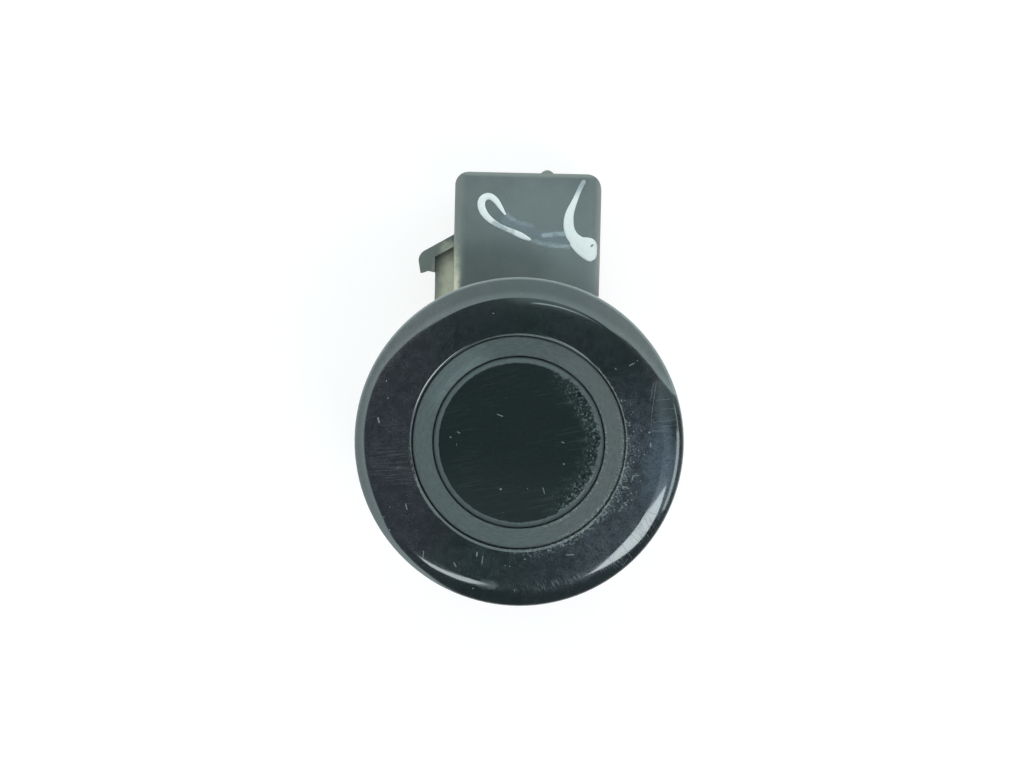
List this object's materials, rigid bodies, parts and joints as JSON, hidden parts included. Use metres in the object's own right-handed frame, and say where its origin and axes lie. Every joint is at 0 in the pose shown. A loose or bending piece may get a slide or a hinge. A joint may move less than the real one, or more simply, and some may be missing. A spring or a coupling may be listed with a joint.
{
  "type": "ultrasonic parking sensor",
  "caption": "Ultrasonic parking sensor: round sensing head in a gloss black clip-in bezel, on a plastic body with a sideways plug socket and latch.",
  "frame": {"origin": "on the sensing axis, on the back face of the bezel's flange that seats on the bumper skin", "axes": "+Z is the sensing direction, +Y points out of the plug socket, +X follows by the right hand; the part lies on its flat back with the face up"},
  "size_m": [0.03, 0.0399, 0.0227],
  "materials": {
    "bezel_paint": "gloss black paint, lightly scratched",
    "ring_silicone": "matt grey silicone",
    "pot_paint": "aluminium, satin black paint with worn edge",
    "piezo_ceramic": "ceramic with silver electrodes",
    "foam": "fine foam",
    "plug_silicone": "cast silicone",
    "copper": "enamelled copper",
    "housing_plastic": "satin charcoal plastic",
    "board_laminate": "solder mask",
    "ferrite": "sintered ferrite",
    "chip_resin": "moulded resin",
    "capacitor_ceramic": "ceramic",
    "tinned_brass": "tin-plated brass",
    "potting_resin": "cast resin",
    "cover_plastic": "satin charcoal plastic",
    "marking_paint": "white inspection mark, brushed on by hand"
  },
  "bodies": {
    "root": {"trim_bezel": "bezel_paint", "decoupling_ring": "ring_silicone", "membrane_pot": "pot_paint", "piezo_disc": "piezo_ceramic", "damping_foam": "foam", "pot_plug": "plug_silicone", "piezo_lead": "copper", "ground_lead": "copper", "housing": "housing_plastic", "circuit_board": "board_laminate", "transformer_core": "ferrite", "transformer_winding": "copper", "control_chip": "chip_resin", "buffer_capacitor": "capacitor_ceramic", "tuning_capacitor": "capacitor_ceramic", "chip_resistors": "chip_resin", "terminal_supply": "tinned_brass", "terminal_signal": "tinned_brass", "terminal_ground": "tinned_brass", "potting": "potting_resin", "rear_cover": "cover_plastic"}
  },
  "joints": []
}
